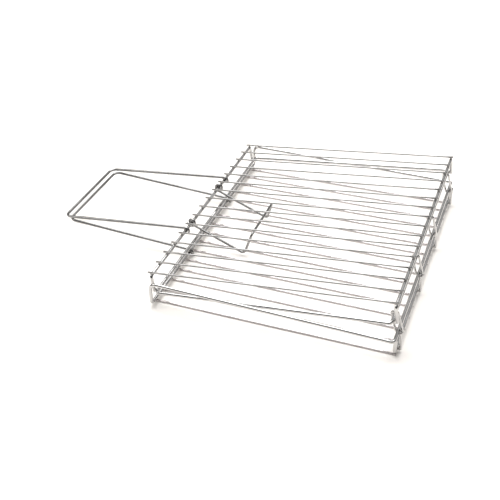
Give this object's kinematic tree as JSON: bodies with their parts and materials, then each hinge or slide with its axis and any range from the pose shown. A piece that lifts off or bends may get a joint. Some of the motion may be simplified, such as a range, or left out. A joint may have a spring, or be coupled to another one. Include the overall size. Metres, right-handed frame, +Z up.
{
  "type": "grill basket",
  "caption": "Hinged wire grill basket: two shallow wire trays that close on the food, each with a long U-shaped wire handle, and a small press bail inside.",
  "frame": {"origin": "middle of the whole object's box, on the table under the lower bars", "axes": "+X runs along the bars from the handles to the hinge, +Y along the hinge, +Z up from the table"},
  "size_m": [0.4407, 0.3254, 0.0684],
  "materials": {
    "bar_wire": "bright plated round wire",
    "frame_wire": "bright plated round wire",
    "handle_wire": "bright plated round wire"
  },
  "bodies": {
    "lower_half": {"lower_bar_01": "bar_wire", "lower_bar_02": "bar_wire", "lower_bar_03": "bar_wire", "lower_bar_04": "bar_wire", "lower_bar_05": "bar_wire", "lower_bar_06": "bar_wire", "lower_bar_07": "bar_wire", "lower_bar_08": "bar_wire", "lower_bar_09": "bar_wire", "lower_bar_10": "bar_wire", "lower_bar_11": "bar_wire", "lower_bar_12": "bar_wire", "lower_bar_13": "bar_wire", "lower_bar_14": "bar_wire", "lower_bar_15": "bar_wire", "lower_bar_16": "bar_wire", "lower_frame": "frame_wire", "lower_hinge_cross": "frame_wire", "lower_handle": "handle_wire", "hinge_link_1": "frame_wire", "hinge_link_2": "frame_wire", "hinge_link_3": "frame_wire", "hinge_link_4": "frame_wire", "hinge_upright_1": "frame_wire", "hinge_upright_2": "frame_wire", "hinge_upright_3": "frame_wire", "hinge_upright_4": "frame_wire"},
    "upper_half": {"upper_bar_01": "bar_wire", "upper_bar_02": "bar_wire", "upper_bar_03": "bar_wire", "upper_bar_04": "bar_wire", "upper_bar_05": "bar_wire", "upper_bar_06": "bar_wire", "upper_bar_07": "bar_wire", "upper_bar_08": "bar_wire", "upper_bar_09": "bar_wire", "upper_bar_10": "bar_wire", "upper_bar_11": "bar_wire", "upper_bar_12": "bar_wire", "upper_bar_13": "bar_wire", "upper_bar_14": "bar_wire", "upper_bar_15": "bar_wire", "upper_bar_16": "bar_wire", "upper_rim": "frame_wire", "upper_handle_cross": "frame_wire", "upper_hinge_cross": "frame_wire", "upper_handle": "handle_wire"},
    "press_bail": {"press_bail": "handle_wire"}
  },
  "joints": [
    {"name": "basket_open", "type": "hinge", "parent": "lower_half", "child": "upper_half", "pos_m": [0.20994, 0, 0.04472], "axis": [0, 1, 0], "range_deg": [0, 120]},
    {"name": "bail_swing", "type": "hinge", "parent": "upper_half", "child": "press_bail", "pos_m": [-0.05523, 0, 0.03464], "axis": [0, -1, 0], "range_deg": [0, 9]}
  ]
}
